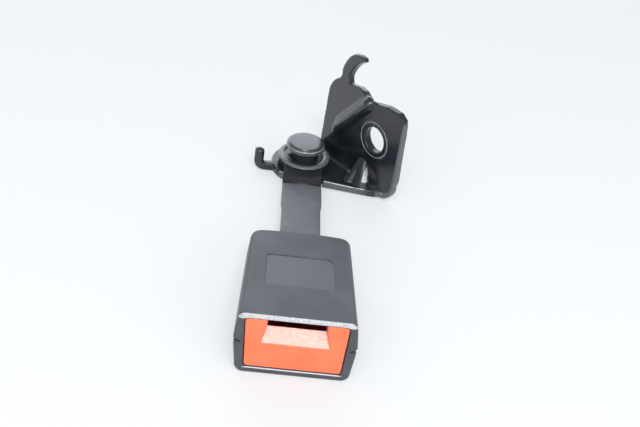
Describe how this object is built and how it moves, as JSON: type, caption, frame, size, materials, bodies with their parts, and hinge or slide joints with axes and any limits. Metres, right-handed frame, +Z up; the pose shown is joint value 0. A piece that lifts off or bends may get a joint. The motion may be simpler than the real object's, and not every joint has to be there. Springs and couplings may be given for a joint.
{
  "type": "seat belt buckle",
  "caption": "Seat belt buckle with an orange release button, on a flat steel stay that swivels on a riveted pivot over a folded anchor bracket with a bolt hole and a hook.",
  "frame": {"origin": "on the pivot axis, at the underside of the pivot rivet, which lies on the floor", "axes": "+X to the right seen from behind the buckle's mouth, +Y from the mouth towards the pivot, +Z up along the pivot axis"},
  "size_m": [0.07, 0.1684, 0.062],
  "materials": {
    "bracket_black": "glossy black coating",
    "stay_grey": "satin grey coating",
    "rivet_steel": "dull dark steel",
    "washer_dark": "dark phosphated spring steel",
    "bush_plastic": "self-lubricating bush",
    "cover_plastic": "fine-textured dark grey",
    "button_orange": "satin orange-red",
    "frame_steel": "plain zinc-plated steel",
    "latch_steel": "hardened and oiled",
    "inner_plastic": "natural black nylon",
    "ejector_plastic": "natural white nylon",
    "spring_steel": "bright spring wire"
  },
  "bodies": {
    "bracket": {"anchor_bracket": "bracket_black", "pivot_rivet": "rivet_steel"},
    "buckle": {"stay_arm": "stay_grey", "pivot_bush": "bush_plastic", "spring_washer": "washer_dark", "buckle_frame": "frame_steel", "frame_rivets": "rivet_steel", "upper_cover": "cover_plastic", "lower_cover": "cover_plastic", "latch_pin": "latch_steel", "spring_carrier": "inner_plastic"},
    "button": {"release_button": "button_orange", "release_slide": "frame_steel", "button_spring_left": "spring_steel", "button_spring_right": "spring_steel"},
    "latch": {"latch_pawl": "latch_steel", "cross_pin": "latch_steel", "latch_spring": "spring_steel"},
    "ejector": {"ejector": "ejector_plastic", "ejector_spring": "spring_steel"}
  },
  "joints": [
    {"name": "stay_swing", "type": "hinge", "parent": "bracket", "child": "buckle", "pos_m": [0, 0, 0.0057], "axis": [0, 0, 1], "range_deg": [-34, 0]},
    {"name": "button_press", "type": "slide", "parent": "buckle", "child": "button", "axis": [0, 0.993, -0.1184], "range_m": [0, 0.0055], "stiffness_N_per_m": 1200, "springref_m": -0.008, "deforming": ["button_spring_left", "button_spring_right"]},
    {"name": "latch_turn", "type": "hinge", "parent": "buckle", "child": "latch", "pos_m": [0, -0.09695, 0.00659], "axis": [1, 0, 0], "range_deg": [0, 6], "stiffness_Nm_per_rad": 0.3, "springref_deg": -17.19, "deforming": ["latch_spring"]},
    {"name": "ejector_slide", "type": "slide", "parent": "buckle", "child": "ejector", "axis": [0, 0.993, -0.1184], "range_m": [0, 0.008], "stiffness_N_per_m": 300, "springref_m": -0.01, "deforming": ["ejector_spring"]}
  ],
  "couplings": [
    {"joint": "latch_turn", "follows": "button_press", "rad_per_m": 19.03}
  ]
}
